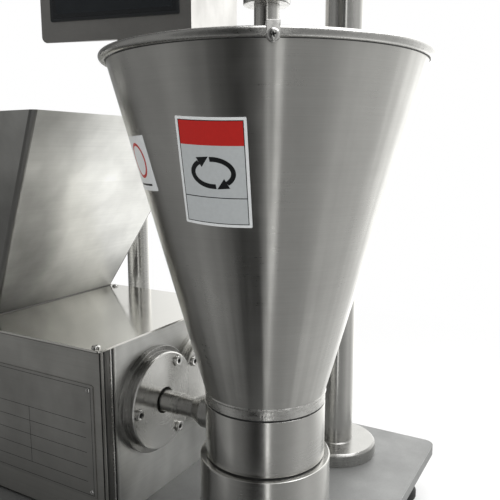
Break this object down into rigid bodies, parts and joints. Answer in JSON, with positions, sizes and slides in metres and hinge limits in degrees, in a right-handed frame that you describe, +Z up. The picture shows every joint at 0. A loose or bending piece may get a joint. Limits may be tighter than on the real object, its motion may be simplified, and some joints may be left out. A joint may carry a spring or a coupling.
{
  "type": "filling machine",
  "caption": "Hopper-fed filling machine: cone hopper with agitator and pump neck, filling pipe through a twin-screw drive box, feed hopper and screen box on a post.",
  "frame": {"origin": "centre of the bounding box in plan, on the plane that the feet stand on", "axes": "+Z up; +X along the drive box towards the cone hopper; +Y to the rear, away from the operator"},
  "size_m": [0.87, 0.6132, 0.949],
  "materials": {
    "stainless": "brushed stainless sheet and tube",
    "hopper_steel": "spun and brushed stainless cone",
    "cover_steel": "brushed stainless, mat",
    "plate_grey": "grey satin top plate",
    "machined_steel": "turned stainless",
    "label_metal": "etched metal plate",
    "screw_steel": "bright screws",
    "bearing_steel": "ground steel",
    "gear_steel": "hobbed steel",
    "bronze": "bronze bush",
    "rubber": "black rubber",
    "motor_paint": "blue grey enamel",
    "gearbox_paint": "light grey enamel",
    "black_plastic": "moulded black",
    "screen_black": "black screen frame",
    "panel_steel": "brushed stainless box",
    "green_plastic": "green button",
    "red_plastic": "red button"
  },
  "bodies": {
    "frame": {"base_plate": "plate_grey", "foot_pads": "rubber", "foot_studs": "screw_steel", "drive_housing": "stainless", "front_cover": "cover_steel", "housing_lid": "stainless", "rating_plate": "label_metal", "rating_plate_rivets": "screw_steel", "pan_screws": "screw_steel", "cap_screws": "screw_steel", "main_bearing_cap": "machined_steel", "second_bearing_cap": "machined_steel", "right_gear_plate": "machined_steel", "left_gear_plate": "machined_steel", "screw_bearings": "bearing_steel", "screw_barrel": "machined_steel", "feed_throat": "stainless", "outlet_block": "machined_steel", "outlet_nozzle": "machined_steel", "inner_tube": "stainless", "drive_gearmotor": "motor_paint", "feed_hopper": "stainless", "cable_gland": "black_plastic", "pump_base": "machined_steel", "pump_neck": "machined_steel", "neck_seals": "rubber", "shaft_bushes": "bronze", "hopper": "hopper_steel", "hopper_crossbar": "machined_steel", "filling_pipe": "stainless", "pipe_union": "machined_steel", "pipe_collar": "machined_steel", "rear_post": "stainless", "rear_post_flange": "machined_steel", "motor_arm": "machined_steel", "agitator_gearbox": "gearbox_paint", "agitator_motor": "motor_paint", "motor_cowl": "black_plastic", "front_post": "stainless", "front_post_flange": "machined_steel", "post_bolts": "screw_steel"},
    "agitator": {"agitator_shaft": "machined_steel", "agitator_blades": "machined_steel", "pump_rotor": "machined_steel", "shaft_coupling": "machined_steel"},
    "main_screw": {"main_screw_shaft": "machined_steel", "main_screw_flight": "machined_steel", "main_screw_gear": "gear_steel"},
    "second_screw": {"second_screw_shaft": "machined_steel", "second_screw_flight": "machined_steel", "second_screw_gear": "gear_steel"},
    "pinion": {"motor_pinion": "gear_steel"},
    "screen": {"screen_box": "panel_steel", "screen_box_back": "panel_steel", "swivel_socket": "machined_steel", "screen_frame": "screen_black", "button_bezels": "machined_steel"},
    "start": {"start_button": "green_plastic"},
    "stop": {"stop_button": "red_plastic"},
    "estop": {"emergency_stop": "red_plastic"}
  },
  "joints": [
    {"name": "agitator_spin", "type": "hinge", "parent": "frame", "child": "agitator", "pos_m": [0.265, -0.10763, 0.375], "axis": [0, 0, 1], "continuous": true},
    {"name": "main_screw_spin", "type": "hinge", "parent": "frame", "child": "main_screw", "pos_m": [-0.035, -0.10763, 0.2045], "axis": [1, 0, 0], "continuous": true},
    {"name": "second_screw_spin", "type": "hinge", "parent": "frame", "child": "second_screw", "pos_m": [-0.035, -0.00763, 0.2045], "axis": [1, 0, 0], "continuous": true},
    {"name": "pinion_spin", "type": "hinge", "parent": "frame", "child": "pinion", "pos_m": [0.065, 0.02937, 0.14041], "axis": [1, 0, 0], "continuous": true},
    {"name": "screen_swivel", "type": "hinge", "parent": "frame", "child": "screen", "pos_m": [-0.105, 0.11837, 0.683], "axis": [0, 0, 1], "range_deg": [-45, 45]},
    {"name": "start_push", "type": "slide", "parent": "screen", "child": "start", "axis": [-0.2334, 0.9724, 0], "range_m": [0, 0.003], "stiffness_N_per_m": 1000},
    {"name": "stop_push", "type": "slide", "parent": "screen", "child": "stop", "axis": [-0.2334, 0.9724, 0], "range_m": [0, 0.003], "stiffness_N_per_m": 1000},
    {"name": "estop_push", "type": "slide", "parent": "screen", "child": "estop", "axis": [-0.2334, 0.9724, 0], "range_m": [0, 0.005]}
  ],
  "couplings": [
    {"joint": "second_screw_spin", "follows": "main_screw_spin", "ratio": -1},
    {"joint": "pinion_spin", "follows": "main_screw_spin", "ratio": 2.0833}
  ]
}
